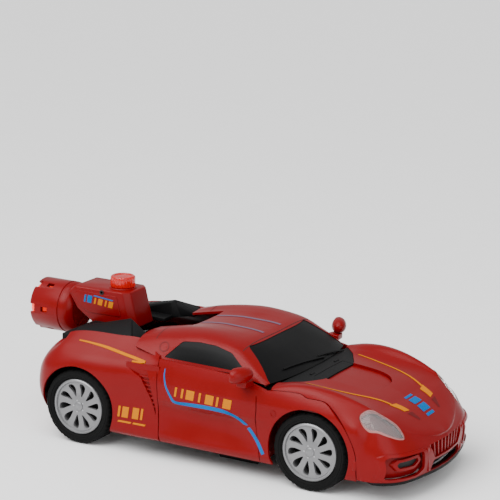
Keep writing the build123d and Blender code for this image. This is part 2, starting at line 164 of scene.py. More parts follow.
# the arm liners and base side panels get the darker red: painted shade inside the car
for name in ("arm_liner_left", "arm_liner_right", "base_side_panels"):
    frame["nodes"][name].data.materials[0] = M["red_shaded"]
for name in ("lift_gear", "lift_pinion"):
    frame["nodes"][name].data.materials[0] = M["black"]


# ---- mesh helpers ----
def new_object(name, data):
    """An object made of the data and put in the scene."""
    ob = bpy.data.objects.new(name, data)
    bpy.context.scene.collection.objects.link(ob)
    return ob


def add(name, verts, faces, look, smooth=True):
    """A mesh piece from points in millimetres."""
    mesh = bpy.data.meshes.new(name)
    mesh.from_pydata([(v[0] * MM, v[1] * MM, v[2] * MM) for v in verts], [], faces)
    mesh.validate()
    mesh.update()
    mesh.materials.append(M[look])
    if smooth:
        mesh.polygons.foreach_set("use_smooth", [True] * len(mesh.polygons))
    return new_object(name, mesh)


def copy_of(ob, name):
    return new_object(name, ob.data.copy())


def paint(ob, look):
    ob.data.materials[0] = M[look]
    return ob


def shift(ob, x, y, z):
    """Moves a piece's mesh by millimetres."""
    ob.data.transform(Matrix.Translation((x * MM, y * MM, z * MM)))
    return ob


def edited(ob, change):
    """Runs bmesh operations on a piece's mesh."""
    bm = bmesh.new()
    bm.from_mesh(ob.data)
    change(bm)
    bm.to_mesh(ob.data)
    bm.free()
    return ob


def face_outwards(bm):
    bmesh.ops.recalc_face_normals(bm, faces=bm.faces)


def weld(bm):
    bmesh.ops.remove_doubles(bm, verts=bm.verts, dist=0.00002)
    face_outwards(bm)


def sharpen(ob, angle=35.0):
    """Shades a piece smooth, with sharp edges above the angle."""
    mesh = ob.data
    mesh.polygons.foreach_set("use_smooth", [True] * len(mesh.polygons))
    mesh.set_sharp_from_angle(angle=math.radians(angle))
    return ob


def clean(ob):
    """Welds, points normals outwards and shades."""
    return sharpen(edited(ob, weld))


def apply_modifiers(ob):
    deps = bpy.context.evaluated_depsgraph_get()
    done = bpy.data.meshes.new_from_object(ob.evaluated_get(deps))
    ob.modifiers.clear()
    ob.data = done
    return ob


def solidify(ob, thick=WALL):
    """Gives a sheet a wall, inwards from its outer face."""
    mod = ob.modifiers.new("wall", "SOLIDIFY")
    mod.thickness = thick * MM
    mod.offset = -1.0
    mod.use_even_offset = True
    return apply_modifiers(ob)


def bevel(ob, width=0.5, segments=3):
    mod = ob.modifiers.new("bevel", "BEVEL")
    mod.width = width * MM
    mod.segments = segments
    mod.limit_method = "ANGLE"
    mod.angle_limit = math.radians(32)
    return sharpen(apply_modifiers(ob), 40)


def boolean(ob, cutter, operation="DIFFERENCE", folded=False):
    """Cuts one closed piece by another; folded is for a piece whose own faces cross."""
    mod = ob.modifiers.new("cut", "BOOLEAN")
    mod.object = cutter
    mod.operation = operation
    mod.solver = "EXACT"
    mod.use_self = folded
    apply_modifiers(ob)
    assert len(ob.data.polygons) > 0, ob.name + " was cut away"
    bpy.data.objects.remove(cutter)
    return ob


def prism(name, points, axis, low, high, look="dark"):
    """A closed solid from an outline, run along one axis ('x', 'y' or 'z')."""
    put = {"x": lambda p, h: (h, p[0], p[1]), "y": lambda p, h: (p[0], h, p[1]),
           "z": lambda p, h: (p[0], p[1], h)}[axis]
    n = len(points)
    verts = [put(p, low) for p in points] + [put(p, high) for p in points]
    faces = [tuple(range(n)), tuple(range(2 * n - 1, n - 1, -1))]
    faces += [(i, (i + 1) % n, n + (i + 1) % n, n + i) for i in range(n)]
    return edited(add(name, verts, faces, look, smooth=False), face_outwards)


def cut_out(ob, outline, axis, low, high, folded=False):
    """Removes what lies inside an outline run along an axis."""
    return boolean(ob, prism("cutter", outline, axis, low, high), folded=folded)


def piece_of(ob, name, outline, axis, low, high):
    """A copy of what lies inside an outline run along an axis."""
    return boolean(copy_of(ob, name), prism("cutter", outline, axis, low, high), "INTERSECT")


def spline(points, n, closed=False):
    """A smooth line of n points through the given ones."""
    p = np.array(points, float)
    if closed:
        p = np.vstack([p[-1], p, p[0], p[1]])
    else:
        p = np.vstack([2 * p[0] - p[1], p, 2 * p[-1] - p[-2]])
    count = len(p) - 3
    t = np.linspace(0, count, n, endpoint=not closed)
    i = np.minimum(t.astype(int), count - 1)
    f = (t - i)[:, None]
    a, b, c, d = p[i], p[i + 1], p[i + 2], p[i + 3]
    square, cube = 2 * a - 5 * b + 4 * c - d, 3 * b - a - 3 * c + d
    return 0.5 * (2 * b + (c - a) * f + square * f ** 2 + cube * f ** 3)


def rounded(points, r, n=5):
    """The closed outline with its corners rounded to radius r."""
    out = []
    pts = [np.array(p, float) for p in points]
    for i, p in enumerate(pts):
        a, b = pts[i - 1] - p, pts[(i + 1) % len(pts)] - p
        la, lb = np.linalg.norm(a), np.linalg.norm(b)
        k = min(r, la * 0.45, lb * 0.45)
        p0, p1 = p + a / la * k, p + b / lb * k
        for t in np.linspace(0, 1, n):
            out.append(tuple((1 - t) ** 2 * p0 + 2 * t * (1 - t) * p + t ** 2 * p1))
    return out


def grid_faces(rows, across):
    """The faces of a sheet whose points run row by row."""
    return [(a, a + 1, a + across + 1, a + across)
            for i in range(rows - 1) for a in range(i * across, (i + 1) * across - 1)]


def surface(name, rows, across, along, look):
    """A smooth sheet through rows of control points; all rows have the same count."""
    grid = np.array(rows, float)
    dense = np.array([spline(r, across) for r in grid])
    dense = np.array([spline(dense[:, j], along) for j in range(across)]).transpose(1, 0, 2)
    return add(name, dense.reshape(-1, 3), grid_faces(along, across), look)


def mirrored(ob, name):
    """The same piece on the other side of the car."""
    mesh = ob.data.copy()
    mesh.transform(Matrix.Scale(-1, 4, (0, 1, 0)))
    mesh.flip_normals()
    return new_object(name, mesh)


def join(name, obs):
    """Joins pieces into one object, keeping each one's materials."""
    mats, verts, faces, idx, smooth = [], [], [], [], []
    for o in obs:
        base = len(verts)
        verts += [tuple(o.matrix_world @ v.co) for v in o.data.vertices]
        remap = []
        for m in o.data.materials:
            if m not in mats:
                mats.append(m)
            remap.append(mats.index(m))
        for p in o.data.polygons:
            faces.append([base + v for v in p.vertices])
            idx.append(remap[p.material_index])
            smooth.append(p.use_smooth)
    mesh = bpy.data.meshes.new(name)
    mesh.from_pydata(verts, [], faces)
    for m in mats:
        mesh.materials.append(m)
    mesh.polygons.foreach_set("material_index", idx)
    mesh.polygons.foreach_set("use_smooth", smooth)
    mesh.update()
    for o in list(obs):
        bpy.data.objects.remove(o)
    return sharpen(new_object(name, mesh), 38)


def turned(name, profile, centre, axis, look, n=96):
    """A shape turned about an axis ('x', 'y' or 'z'); profile is (radius, place along the axis)."""
    verts, faces = [], []
    m = len(profile)
    for i in range(n):
        a = 2 * math.pi * i / n
        for r, h in profile:
            u, v = r * math.cos(a), r * math.sin(a)
            p = {"y": (u, h, v), "x": (h, u, v), "z": (u, v, h)}[axis]
            verts.append([p[k] + centre[k] for k in range(3)])
    for i in range(n):
        for j in range(m - 1):
            a, b = i * m + j, ((i + 1) % n) * m + j
            faces.append((a, a + 1, b + 1, b))
    return clean(add(name, verts, faces, look))


def block(name, x0, x1, y0, y1, z0, z1, look, r=0.4):
    ob = prism(name, [(x0, y0), (x1, y0), (x1, y1), (x0, y1)], "z", z0, z1, look)
    return bevel(ob, r) if r else ob


def sampler(ob, up=2):
    """Looks up a sheet's outward surface along z (up=2) or y (up=1), as a place and its normal."""
    pts = np.array([tuple(v.co) for v in ob.data.vertices]) / MM
    nor = np.array([tuple(v.normal) for v in ob.data.vertices])
    if nor[np.argmax(pts[:, up])][up] < 0:
        nor = -nor
    facing = nor[:, up] > 0.15
    pts, nor = pts[facing], nor[facing]
    across = 3 - up

    def at(x, v, out=0.0):
        d = (pts[:, 0] - x) ** 2 + (pts[:, across] - v) ** 2
        near = np.argsort(d)[:5]
        w = 1 / (d[near] + 0.02)
        q, m = pts[near], nor[near]
        height = q[:, up] - (m[:, 0] * (x - q[:, 0]) + m[:, across] * (v - q[:, across])) / m[:, up]
        n = (m * w[:, None]).sum(0)
        n /= np.linalg.norm(n)
        p = np.zeros(3)
        p[0], p[across], p[up] = x, v, (height * w).sum() / w.sum()
        return p + n * out, n
    return at


def patch(name, corners, at, look, n=8, out=PRINT_LIFT):
    """A four-cornered patch laid on a sheet, used for print and for painted shade; corners run round it."""
    a, b, c, d = [np.array(q, float) for q in corners]
    verts = []
    for i in range(n + 1):
        for j in range(n + 1):
            f, g = i / n, j / n
            q = (1 - f) * ((1 - g) * a + g * d) + f * ((1 - g) * b + g * c)
            verts.append(at(q[0], q[1], out)[0])
    return add(name, verts, grid_faces(n + 1, n + 1), look)


def cut_arch(ob, axle):
    """Opens the round wheel arch about an axle."""
    profile = [(0, 30), (ARCH_R, 30), (ARCH_R, 80), (0, 80)]
    boolean(ob, turned("arch_cut", profile, (axle[0], 0, axle[1]), "y", "dark"))


def give(ob, body, nodes):
    """Says which body a piece rides on and which nodes it replaces."""
    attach(ob, body)
    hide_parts(*nodes)


# ---- body sheets ----
# Height levels and places along the car for the side of the body, and how far out it stands there.
SIDE_Z = [12, 16, 25, 34, 41, 50, 56, 60, 66]
SIDE_X = [-24, -8, 12, 32, 46, 60, 75, 90, 105, 119]
SIDE_Y = [
    [58.4, 58.6, 58.8, 58.8, 59.0, 59.2, 59.5, 60.0, 59.8, 58.6],
    [60.6, 61.0, 61.2, 61.2, 61.2, 61.0, 61.4, 61.6, 61.2, 60.0],
    [59.6, 58.9, 58.0, 58.2, 59.4, 60.8, 61.4, 61.8, 61.4, 60.2],
    [58.8, 57.4, 56.6, 57.2, 59.4, 61.0, 61.6, 61.9, 61.5, 60.2],
    [59.2, 60.4, 60.9, 61.0, 61.1, 61.4, 61.8, 61.8, 61.2, 59.8],
    [59.2, 60.2, 60.6, 60.8, 60.9, 61.2, 61.4, 61.2, 60.2, 58.6],
    [58.2, 59.0, 59.3, 59.4, 59.4, 59.6, 59.8, 59.2, 57.6, 55.5],
    [57.0, 57.8, 58.0, 58.0, 57.8, 57.6, 57.4, 56.4, 54.6, 52.0],
    [54.6, 55.2, 55.4, 55.2, 55.0, 54.8, 54.0, 53.0, 51.0, 48.0],
]


def side_y(x, z):
    """How far out the body's side stands."""
    columns = [np.interp(x, SIDE_X, row) for row in SIDE_Y]
    return float(np.interp(z, SIDE_Z, columns))


REAR_ROWS = [
    [(-104, 0, 14), (-112, 0, 18), (-117, 0, 26), (-119, 0, 34), (-118.5, 0, 44), (-116, 0, 52),
     (-112, 0, 58), (-108, 0, 62.5), (-106, 0, 64), (-104, 0, 65)],
    [(-104, 22, 14), (-112, 22, 18), (-117, 22, 26), (-119, 22, 34), (-118.5, 22, 44), (-116, 22, 52),
     (-112, 22, 58), (-108, 21, 62.5), (-106, 21, 64), (-104, 21, 65)],
    [(-104, 38, 14), (-112, 40, 18), (-117, 42, 26), (-118.5, 43, 34), (-118, 43, 44), (-115, 42, 52),
     (-111, 41, 58), (-106, 40, 62.5), (-103, 38, 64), (-101, 36, 65)],
    [(-101, 52, 13), (-108, 53, 18), (-113, 54, 26), (-114.5, 54.5, 34), (-113.5, 54.5, 44),
     (-111, 54, 51), (-107, 52, 57), (-102, 49, 62), (-99, 46.5, 65), (-98, 44.5, 67)],
    [(-98, 57, 12), (-100, 59, 17), (-102, 61, 26), (-103, 61.5, 35), (-102, 61, 45), (-101, 60, 51),
     (-99, 57, 57.5), (-97, 53, 63), (-95.5, 49, 66.5), (-95, 44.8, 70)],
]
for x, section in ((-81.5, [(57, 12), (60, 16), (61.5, 26), (62, 38), (61.5, 48), (60.6, 54), (57.8, 59.2),
                            (53.4, 63.8), (49.4, 67.4), (44.6, 72.4)]),
                   (-60, [(57.5, 12), (60.2, 15), (60.5, 24), (60.2, 36), (60.9, 46), (60.2, 53.5),
                          (57.4, 59.2), (53.2, 63.4), (49.4, 67.4), (44.6, 73)]),
                   (-40, [(58, 12), (60.4, 15), (59.8, 24), (59.2, 36), (59.8, 46), (59.6, 53.5),
                          (57.4, 59), (54.6, 62.6), (50, 67), (44.6, 73)])):
    REAR_ROWS.append([(x, y, z) for y, z in section])
REAR_ROWS.append([(-19.6 - (z - 13) * 0.066, y, z) for y, z in (
    (58.4, 12.5), (60.6, 15), (59.6, 24), (58.8, 35), (59.2, 43), (59.1, 50), (58.0, 56.5), (56.6, 61),
    (54.9, 64.4), (53.8, 67.2))])

rear = clean(surface("rear_left_sheet", REAR_ROWS, 90, 150, "red"))
rear_top = sampler(rear, 2)
rear_side = sampler(rear, 1)
rear = solidify(rear)
cut_arch(rear, REAR_AXLE)
# the slanted louvred intake behind the door
INTAKE = [(-43.5, 57.5), (-30, 57.0), (-27.8, 53), (-22.6, 33), (-22.4, 29.5), (-26.4, 40), (-33.5, 52.4)]
cut_out(rear, INTAKE, "y", 50, 80)
floor_rows = [[(-45, 57.6, z), (-38, 57.3, z), (-30, 57.0, z), (-21, 56.8, z)] for z in range(26, 62, 5)]
intake_floor = solidify(surface("intake_floor", floor_rows, 20, 20, "red"), 0.8)
LOUVRES, LOUVRE_STEP, LOUVRE_HALF = 8, 2.7, 0.55
louvres = []
for k in range(LOUVRES):
    z = 34.5 + LOUVRE_STEP * k
    back = -33.5 - (z - 46) * 0.42 if z > 40 else -29.5
    louvres.append(block(f"louvre_{k}", back + 1.0, -23.4, 57.0, 58.7, z - LOUVRE_HALF, z + LOUVRE_HALF,
                         "red", 0.25))


def strip_along(name, points, half_width, lift, look):
    """A thin strip that follows a line of (x, y, z) points and their outward normals."""
    verts, faces = [], []
    n = len(points)
    for i, (p, normal) in enumerate(points):
        q = np.array(points[min(i + 1, n - 1)][0]) - np.array(points[max(i - 1, 0)][0])
        q = q / (np.linalg.norm(q) + 1e-9)
        nn = np.array(normal, float)
        side = np.cross(q, nn)
        side /= np.linalg.norm(side) + 1e-9
        w = half_width[i] if hasattr(half_width, "__len__") else half_width
        for s in (-1, 1):
            verts.append(np.array(p) + side * w * s + nn * lift)
    for i in range(n - 1):
        faces.append((2 * i, 2 * i + 1, 2 * i + 3, 2 * i + 2))
    return add(name, verts, faces, look)


FENDER = [(-86, 50.0), (-74, 50.6), (-62, 51.4), (-46, 53.6), (-32.6, 55.6)]
HOOK = [(-32.4, 55.5), (-37.0, 56.0), (-42.0, 56.2)]
QUARTER_BARS = [(-50.4, -48.8, 24.2, 31.4), (-47.4, -42.8, 24.2, 31.4), (-39.8, -35.2, 24.4, 31.8),
                (-33.8, -32.2, 24.6, 32.0), (-50.2, -40.6, 20.8, 22.0), (-39.2, -30.0, 20.9, 22.1)]
fender_width = [0.5 + 0.5 * min(1, i / 20) for i in range(40)]
prints = [strip_along("fender_hook", [rear_top(x, y) for x, y in spline(HOOK, 14)], 0.8, 0.4, "yellow"),
          strip_along("fender_stripe", [rear_top(x, y) for x, y in spline(FENDER, 40)], fender_width,
                      0.18, "yellow")]
for k, (x0, x1, z0, z1) in enumerate(QUARTER_BARS):
    corners = [(x0, z0), (x1, z0), (x1 + 0.8, z1), (x0 + 0.8, z1)]
    prints.append(patch(f"quarter_bar_{k}", corners, rear_side, "yellow", 5))
rear_left = join("rear_quarter_left", [rear, intake_floor] + louvres + prints)
rear_right = mirrored(rear_left, "rear_quarter_right")
for quarter in (rear_left, rear_right):
    give(quarter, "base", ["rear_quarters", "rear_bumper"])

# ---- arm shell: door and front fender ----
ARM_Z = (12.6, 14.5, 17, 21, 26, 31, 35.5, 38.5, 41, 45, 50, 54, 58, 62, 66)
arm_rows = [[(x, side_y(x, z), z) for z in ARM_Z] for x in np.linspace(-24, 119.5, 22)]
arm = solidify(clean(surface("arm_sheet", arm_rows, 120, 170, "red")))
SEAM_TOP = [(56.0, 58.5), (62, 59.4), (70, 60.1), (78.5, 60.1), (83.5, 58.4), (90, 58.2), (96.0, 57.2),
            (102, 52.8), (108, 47.0), (112.4, 41.2), (115.8, 34.9), (117.6, 29.6), (118.4, 25.5),
            (118.7, 12.6)]
seam_line = [tuple(p) for p in spline(SEAM_TOP, 70)]
outline = [(-19.0, 12.7), (-22.5, 65.4), (-10, 65.2), (10, 64.8), (30, 63.8), (44, 61.6), (52, 59.6)]
boolean(arm, prism("arm_outline", outline + seam_line, "y", 40, 80), "INTERSECT")
cut_arch(arm, FRONT_AXLE)
# the shut line between door and fender, a pressed groove
GROOVE = [(47.5, 61), (49.5, 56), (50.6, 48), (50.2, 38), (51.4, 26), (53.2, 18), (53.6, 12)]
GROOVE_HALF = 0.28
groove_line = spline(GROOVE, 30)
groove = [(p[0] - GROOVE_HALF, p[1]) for p in groove_line]
groove += [(p[0] + GROOVE_HALF, p[1]) for p in groove_line[::-1]]
cut_out(arm, groove, "y", 59.6, 70)


def on_side(x, z, out=0.0):
    """A point on the body side and the direction that faces out of it."""
    dz = side_y(x, z + 0.5) - side_y(x, z - 0.5)
    dx = side_y(x + 0.5, z) - side_y(x - 0.5, z)
    n = np.array([-dx, 1.0, -dz])
    n /= np.linalg.norm(n)
    return np.array([x, side_y(x, z), z]) + n * out, n


BLUE_LINE = [(-16.8, 60.5), (-16.6, 56), (-14.8, 50), (-11.2, 44.2), (-7.6, 41.0), (2, 41.2), (14, 41.6),
             (26, 41.4), (33, 40.2), (40, 36.8), (46.5, 31.5), (51.5, 25.6), (56, 18.6)]
blue_width = [0.3 + 0.9 * min(1, i / 40) for i in range(90)]
blue = strip_along("door_stripe", [on_side(x, z) for x, z in spline(BLUE_LINE, 90)], blue_width, PRINT_LIFT,
                   "blue")


def dash_row(name, x0, x1, z0, z1, height, parts, look, slant=0.15):
    """A plain printed badge: slanted bars of different widths, with no letters."""
    steps = 6
    bars = []
    x = x0
    for k, w in enumerate(parts):
        width = (x1 - x0) * w / sum(parts)
        if k % 2 == 0:
            low = z0 + (z1 - z0) * ((x - x0) / (x1 - x0))
            high = z0 + (z1 - z0) * ((x + width - x0) / (x1 - x0))
            verts = []
            for i in range(steps + 1):
                for j in range(steps + 1):
                    f, g = i / steps, j / steps
                    zz = low + (high - low) * f + (g - 0.5) * height
                    xx = x + width * f + (g - 0.5) * height * slant
                    verts.append(on_side(xx, zz, PRINT_LIFT)[0])
            bars.append(add(f"{name}_{k}", verts, grid_faces(steps + 1, steps + 1), look))
        x += width
    return join(name, bars)


BADGE_PARTS = [1.1, 2.4, 1.1, 1.5, 4.2, 2.4, 1.1, 2.4, 4.2, 1.5, 1.1, 2.4, 4.2]
badge = dash_row("door_badge", -8, 33, 47.7, 46.2, 6.2, BADGE_PARTS, "yellow")
# the mirror: a pod turned outwards on a stalk; its place is in metres
MIRROR_PLACE = (0.0425, 0.0672, 0.0685)
MIRROR_TURN = math.radians(-62)
MIRROR_BODY = [(0, -8.6), (2.8, -8.0), (4.6, -5.0), (5.0, 0.0), (4.2, 5.0), (2.4, 8.0), (0, 8.8)]
pod_profile = [(max(0.01, r), h) for r, h in spline(MIRROR_BODY, 24)]
mirror_cup = turned("mirror_cup", pod_profile, ORIGIN, "x", "red", 48)
mirror_cup.data.transform(Matrix.Translation(MIRROR_PLACE) @ Matrix.Rotation(MIRROR_TURN, 4, "Z"))
boolean(mirror_cup, block("mirror_face_cut", 32.0, 39.2, 56, 78, 60, 76, "dark", 0))
glass = turned("mirror_glass", [(0.01, 0), (3.0, 0), (3.0, 0.5), (0.01, 0.5)], (39.0, 68.6, 68.5), "x",
               "chrome", 40)
STALK = rounded([(36.5, 57.2), (47, 57.2), (46, 66.8), (39.5, 66.8)], 1.5)
stalk = bevel(prism("mirror_stalk", STALK, "z", 60.6, 64.4, "red"), 0.9)
hinge_tab = block("fender_tab", 116.4, 119.0, 58.4, 60.6, 19.5, 25.5, "red", 0.5)
MARKER = [(0.01, 0), (2.1, 0), (2.1, 0.35), (1.5, 0.35), (1.5, 0.1), (0.01, 0.1)]
marker = turned("side_marker", MARKER, (62.5, side_y(62.5, 46) - 0.05, 46), "y", "red", 40)
arm_left = join("arm_skin_left", [arm, mirror_cup, glass, stalk, hinge_tab, marker, blue, badge])
arm_right = mirrored(arm_left, "arm_skin_right")
give(arm_left, "arm_left", ["arm_shell_left"])
give(arm_right, "arm_right", ["arm_shell_right"])

# ---- hood and nose ----
# each row of HOOD: x, crest (y, z), shoulder (y, z), inner flank z, valley z, middle z, centre z
HOOD = [
    (56, (51.5, 61.0), (57.6, 57.6), 60.9, 61.0, 61.6, 61.8),
    (62, (51.2, 62.2), (57.6, 59.4), 61.2, 60.9, 61.2, 61.4),
    (70, (51.0, 63.8), (57.4, 60.8), 61.9, 60.4, 60.6, 60.9),
    (80, (50.5, 64.6), (57.0, 61.2), 61.8, 59.5, 59.8, 60.0),
    (90, (50.0, 64.0), (56.6, 60.4), 60.8, 58.4, 58.8, 58.9),
    (100, (49.5, 61.8), (56.0, 57.8), 58.8, 56.8, 57.0, 57.0),
    (110, (49.0, 57.6), (55.2, 53.2), 55.6, 54.3, 54.4, 54.2),
    (118, (48.0, 52.8), (54.2, 48.4), 51.8, 51.2, 51.0, 50.6),
    (124, (47.2, 48.9), (53.4, 44.6), 48.7, 48.4, 47.9, 47.5),
]
hood_rows = []
for x, crest, shoulder, flank_z, valley_z, mid_z, centre_z in HOOD:
    low = [13.6, 22, 31, min(44, shoulder[1] - 6)]
    row = [(x, side_y(min(x, 119), z), z) for z in low]
    if x > 119:
        row = [(x, y, z) for y, z in zip((59.2, 59.6, 59.2, 57.0), low)]
    row += [(x, *shoulder), (x, *crest), (x, 43, flank_z), (x, 34, valley_z), (x, 18, mid_z),
            (x, 0, centre_z)]
    hood_rows.append(row)
hood_rows += [
    [(130, 58.2, 13.6), (131, 58.6, 22), (131, 57.8, 30), (130.5, 55.6, 36.5), (130, 52.4, 41),
     (129, 46.5, 44.8), (129.5, 41, 45.8), (130, 32, 45.9), (130.5, 17, 45.4), (131, 0, 45.0)],
    [(137, 55, 13.6), (138.4, 55.6, 22), (138.2, 54.6, 29.5), (137.2, 51.5, 35), (136.4, 48, 38.5),
     (135.4, 42.5, 41.4), (135.8, 37.5, 42.4), (136, 30, 42.8), (136.4, 16, 42.5), (137, 0, 42.2)],
    [(143, 48.5, 13.6), (144.6, 49, 22), (144.6, 48, 28.5), (143.2, 44.8, 33), (142, 41.5, 35.8),
     (140.8, 37, 38.2), (141, 33, 39), (141.4, 26.5, 39.5), (142, 14, 39.4), (142.4, 0, 39.2)],
    [(146.8, 39, 13.6), (148.2, 39.5, 22), (148.4, 38.4, 28), (147.2, 35.5, 32), (145.8, 32.5, 34.4),
     (144.6, 29, 36.2), (144.8, 26, 36.9), (145.2, 20.5, 37.3), (145.8, 11, 37.3), (146.2, 0, 37)],
    [(149.2, 28, 13.6), (150.4, 28, 22), (150.6, 27.2, 27.5), (149.8, 25, 31), (148.6, 23, 33),
     (147.6, 20.5, 34.6), (147.8, 18, 35.2), (148.2, 14, 35.5), (148.8, 8, 35.5), (149, 0, 35.2)],
    [(151.6, 14, 13.6), (152, 14, 22), (152.2, 13.8, 27), (151.6, 13, 30), (150.8, 12, 31.6),
     (150, 10.5, 33), (150.1, 9, 33.6), (150.3, 7, 33.8), (150.6, 4, 33.8), (150.7, 0, 33.6)],
    [(152.6, 0, 13.6), (153, 0, 22), (153, 0, 27), (152.6, 0, 29.8), (151.8, 0, 31.4), (151, 0, 32.4),
     (150.9, 0, 32.8), (150.8, 0, 33), (150.8, 0, 33.2), (150.7, 0, 33.3)],
]


def whole(half, name):
    """Both halves of the car's width, welded along the middle."""
    return clean(join(name, [half, mirrored(half, name + "_other")]))


# the crown stands higher between the wheel arches and the nose
CROWN_X = [96, 110, 118, 124, 130, 137, 143, 149]
CROWN_UP = [0, 1.4, 2.7, 3.4, 3.5, 2.5, 1.2, 0]
CROWN_SHARE = [0, 0, 0, 0.35, 0.85, 1.3, 1.15, 1.05, 1, 1]
hood_rows = [[(x, y, z + share * float(np.interp(x, CROWN_X, CROWN_UP)))
              for (x, y, z), share in zip(row, CROWN_SHARE)] for row in hood_rows]
hood_sheet = whole(surface("hood_half", hood_rows, 110, 170, "red"), "hood_sheet")
hood_at = sampler(hood_sheet)
solidify(hood_sheet)
chest_top = [(x + 0.45, z + 0.35) for x, z in seam_line]
below_seam = [(40, 0), (119.3, 0)] + chest_top[::-1] + [(40, 58.9)]
hatch_line = [(68.9, -19.7), (68.9, 19.7), (90, 19.7)]
for a in np.linspace(0.06, math.pi - 0.06, 40):
    across = math.copysign(abs(math.cos(a)) ** 0.85, math.cos(a))
    hatch_line.append((90 + 20.2 * math.sin(a) ** 0.75, 19.7 * across))
hatch_line += [(90, -19.7)]


def shrunk(points, by):
    """The outline drawn in towards its middle."""
    c = np.mean(np.array(points), axis=0)
    return [tuple(c + (np.array(p) - c) * (1 - by / np.linalg.norm(np.array(p) - c))) for p in points]


hatch = piece_of(hood_sheet, "hatch_skin", shrunk(hatch_line, 0.35), "z", 40, 80)
cut_out(hood_sheet, hatch_line, "z", 40, 80)
# black cowl under the windshield: the back of the hatch and the hood beside it
COWL_X = 76.8
COWL = [(50, -47), (50, 47), (60, 46), (68, 37), (COWL_X, 21), (COWL_X, -21), (68, -37), (60, -46)]
hatch_back = piece_of(hatch, "hatch_back", COWL, "z", 30, 90)
cut_out(hatch, COWL, "z", 30, 90)
shift(hatch, 0, 0, -1.6)
shift(paint(hatch_back, "black"), 0, 0, -0.6)
cowl = piece_of(hood_sheet, "cowl", shrunk(COWL, 0.15), "z", 30, 90)
cut_out(hood_sheet, COWL, "z", 30, 90)
shift(paint(cowl, "black"), 0, 0, -0.5)
LAMP = rounded([(142.2, 39.8), (139.4, 45.8), (134.0, 51.0), (127.0, 54.8), (120.0, 56.4), (116.2, 54.2),
                (119.6, 48.6), (126.5, 43.4), (135.0, 39.6)], 3.0, 6)
lamps = []
for side in (1, -1):
    line = [(x, y * side) for x, y in LAMP]
    lens = paint(piece_of(hood_sheet, "lens", shrunk(line, 0.35), "z", 34, 70), "clear")
    bowl = paint(shift(copy_of(lens, "bowl"), -2.2, -1.6 * side, -2.4), "bowl")
    # a paler red rim round each lamp opening, lifted over the sheet
    edge = piece_of(hood_sheet, "lamp_edge", shrunk(line, 0.35), "z", 34, 74)
    cut_out(edge, shrunk(line, 0.75), "z", 30, 80)
    shift(paint(edge, "pale"), 0.12, 0.08 * side, 0.2)
    lamps += [lens, bowl, edge]
    cut_out(hood_sheet, line, "z", 34, 70)
for side in (1, -1):
    cut_out(hood_sheet, below_seam, "y", 46.5 * side, 80 * side)
for sheet in (hood_sheet, cowl):
    boolean(sheet, block("cowl_cut", 30, 58.6, -80, 80, 20, 100, "dark", 0))


# ---- nose: mouth, grille, bracket intakes, fins and splitter ----
def nose_x(y):
    """How far forward the nose stands at a distance from the middle."""
    return 153.0 - 0.0033 * y * y


MOUTH = [(-17.5, 21.4), (17.5, 21.4), (23.6, 30.8), (-23.6, 30.8)]
LOW_MOUTH = [(-21.5, 14.2), (21.5, 14.2), (18.6, 20.2), (-18.6, 20.2)]
POD = rounded([(29.5, 18.0), (31.0, 29.4), (54.6, 30.0), (56.6, 28.4), (56.6, 16.0), (36, 15.4)], 1.6, 5)
POD_RIM = rounded([(27.6, 16.8), (29.4, 31.0), (55.2, 31.6), (58.0, 29.4), (58.0, 14.4), (35.4, 14.0)],
                  2.0, 5)
BRACKET = rounded([(33.0, 24.0), (35.6, 28.0), (51.4, 27.6), (54.0, 24.6), (51.4, 20.6), (38.6, 20.0)],
                  1.0, 4)
BRACKET_HOLE = rounded([(35.2, 24.2), (36.8, 26.4), (50.4, 26.1), (51.8, 24.4), (50.4, 22.2),
                        (39.0, 21.8)], 0.8, 4)
FIN = [(22.4, 14.2), (24.4, 14.2), (27.6, 30.2), (24.9, 30.2)]
nose_extra = []
for side in (1, -1):
    pod, rim, bar, hole, fin = [[(y * side, z) for y, z in line]
                                for line in (POD, POD_RIM, BRACKET, BRACKET_HOLE, FIN)]
    back = shift(piece_of(hood_sheet, "pod_back", pod, "x", 126, 165), -3.0, -1.6 * side, 0)
    bracket = piece_of(hood_sheet, "pod_bracket", bar, "x", 126, 165)
    shift(cut_out(bracket, hole, "x", 120, 165), -1.0, -0.6 * side, 0)
    # a near-black sheet set back inside each bracket hole: painted shade in the intake
    slot = shift(piece_of(hood_sheet, "pod_slot_shade", hole, "x", 126, 165), -2.8, -1.5 * side, 0)
    ring = piece_of(hood_sheet, "pod_rim", rim, "x", 126, 165)
    shift(cut_out(ring, pod, "x", 120, 165), 0.6, 0.4 * side, 0)
    cut_out(hood_sheet, pod, "x", 126, 165)
    nose_extra += [back, ring, bracket, paint(slot, "dark")]
    nose_extra.append(bevel(prism("nose_fin", fin, "x", 143.5, 150.9, "red"), 0.5))
for outline in (MOUTH, LOW_MOUTH):
    cut_out(hood_sheet, rounded(outline, 1.4), "x", 138, 165)
# a near-black plate behind the grille vanes: painted shade in the mouth
MOUTH_SHADE = [(-21, 14.6), (21, 14.6), (21, 30), (-21, 30)]
grille = [prism("mouth_shade", MOUTH_SHADE, "x", 140.2, 141.2, "dark")]
VANES, VANE_STEP, VANE_HALF, VANE_LEAN = 10, 4.4, 0.85, 0.16
vanes = []
for k in range(VANES):
    y = -19.8 + VANE_STEP * k
    lean = VANE_LEAN * y
    vane = [(y - VANE_HALF, 21), (y + VANE_HALF, 21),
            (y + VANE_HALF + lean, 31.2), (y - VANE_HALF + lean, 31.2)]
    vanes.append(bevel(prism(f"vane_{k}", vane, "x", 141.4, nose_x(y) - 1.3, "red"), 0.25))
for k in range(2):
    z = 16.6 + 2.2 * k
    grille.append(block(f"low_bar_{k}", 141, 149.6, -18.6, 18.6, z, z + 0.8, "black", 0.2))
NOSE_PLAN = [(128, 58.2), (131, 57.9), (137, 55.2), (143, 48.8), (146.8, 39.2), (149.4, 28.2), (151.8, 14),
             (152.8, 0)]
